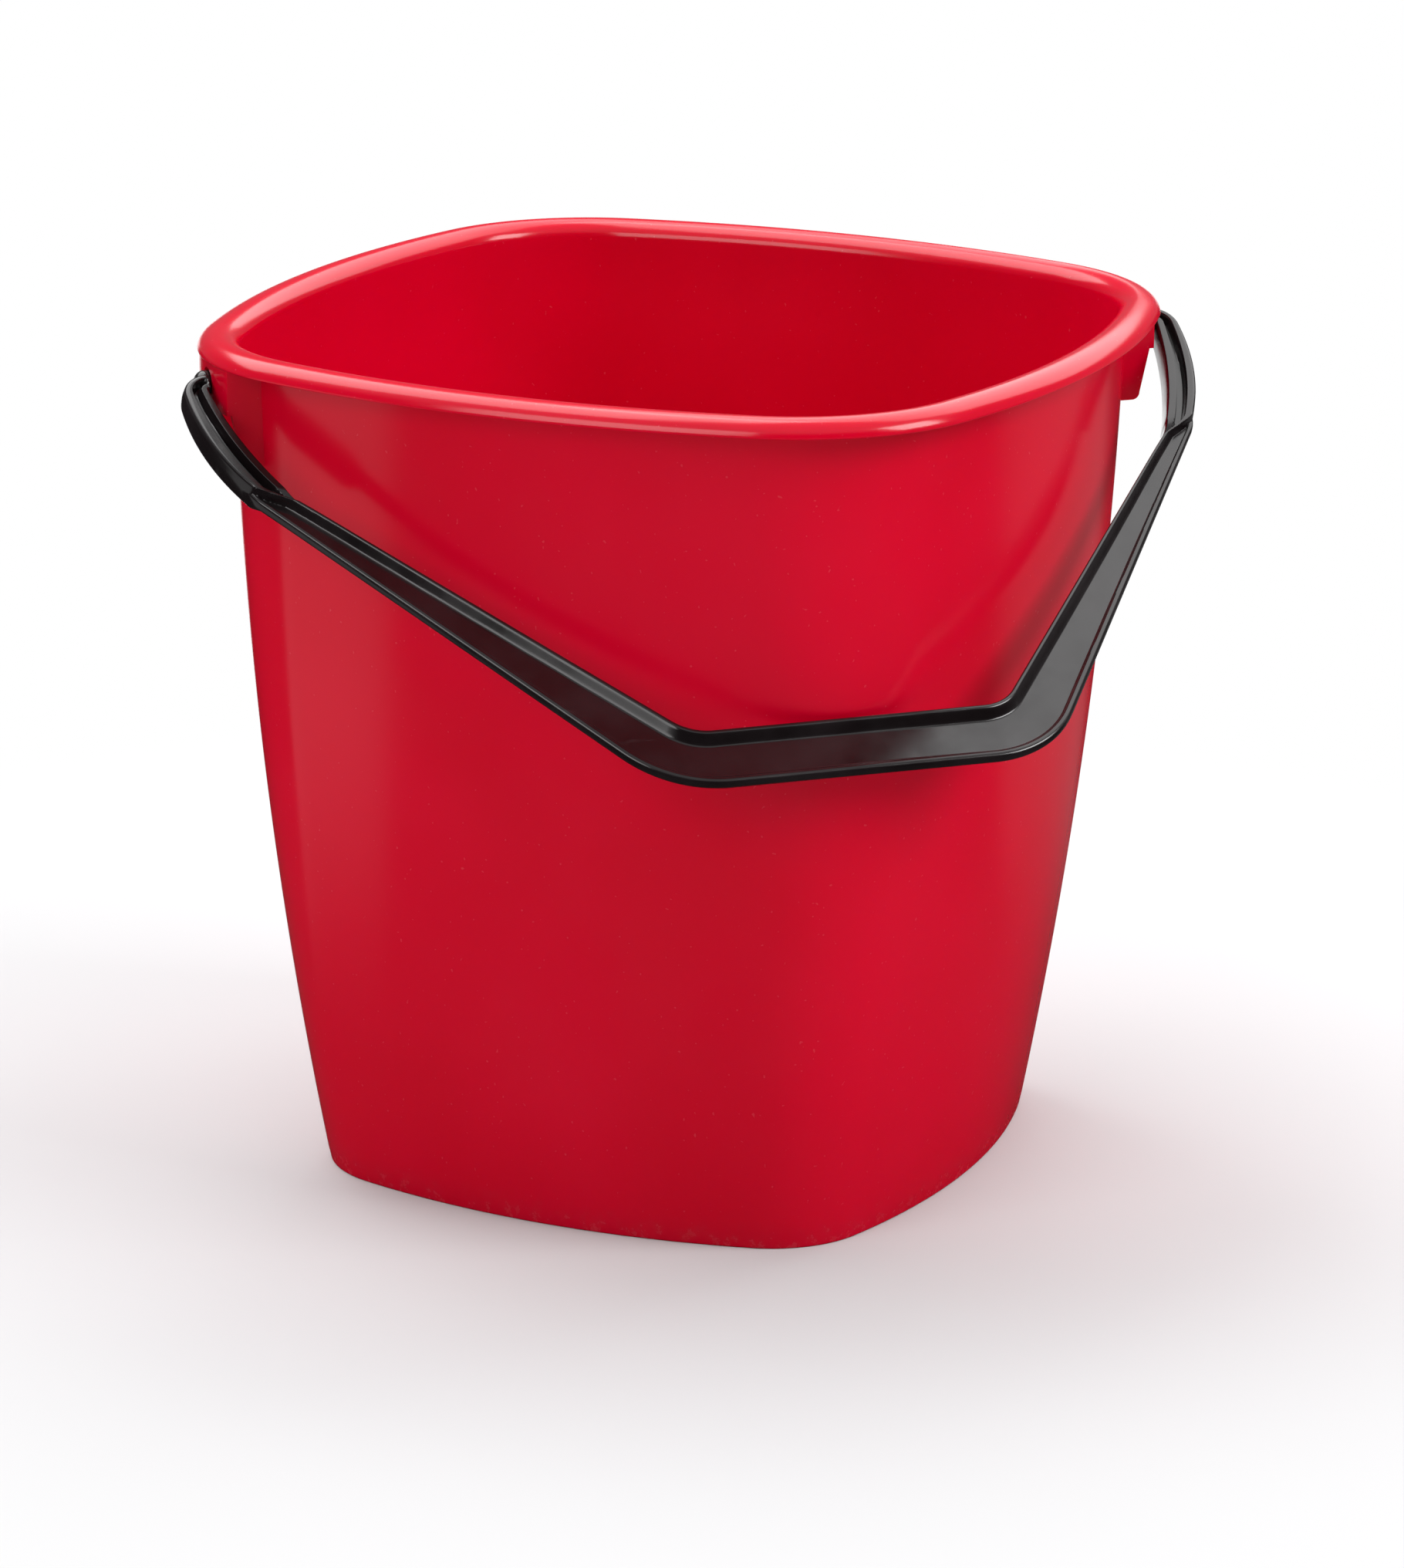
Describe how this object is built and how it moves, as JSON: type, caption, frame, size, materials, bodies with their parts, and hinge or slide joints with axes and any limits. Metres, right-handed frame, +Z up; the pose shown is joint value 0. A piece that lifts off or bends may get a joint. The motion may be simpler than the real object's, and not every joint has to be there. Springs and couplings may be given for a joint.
{
  "type": "plastic bucket with bail handle",
  "caption": "Open-topped flared bucket, square in plan with bulging sides and round corners, with a rolled rim and a swinging one-piece bail that rests against its front corner.",
  "frame": {"origin": "centre of the footprint on the floor, below the middle of the pivot axis", "axes": "+Z up; X along the bail's pivot axis through the left and right corners; -Y towards the front corner, where the bail rests"},
  "size_m": [0.3424, 0.3251, 0.28],
  "materials": {
    "red_plastic": "smooth satin to gloss injection-moulded polypropylene",
    "black_plastic": "glossy injection-moulded polyamide"
  },
  "bodies": {
    "bucket": {"bucket_body": "red_plastic"},
    "bail": {"bail_handle": "black_plastic"}
  },
  "joints": [
    {"name": "handle_swing", "type": "hinge", "parent": "bucket", "child": "bail", "pos_m": [0, 0, 0.2675], "axis": [-1, 0, 0], "range_deg": [0, 241]}
  ]
}
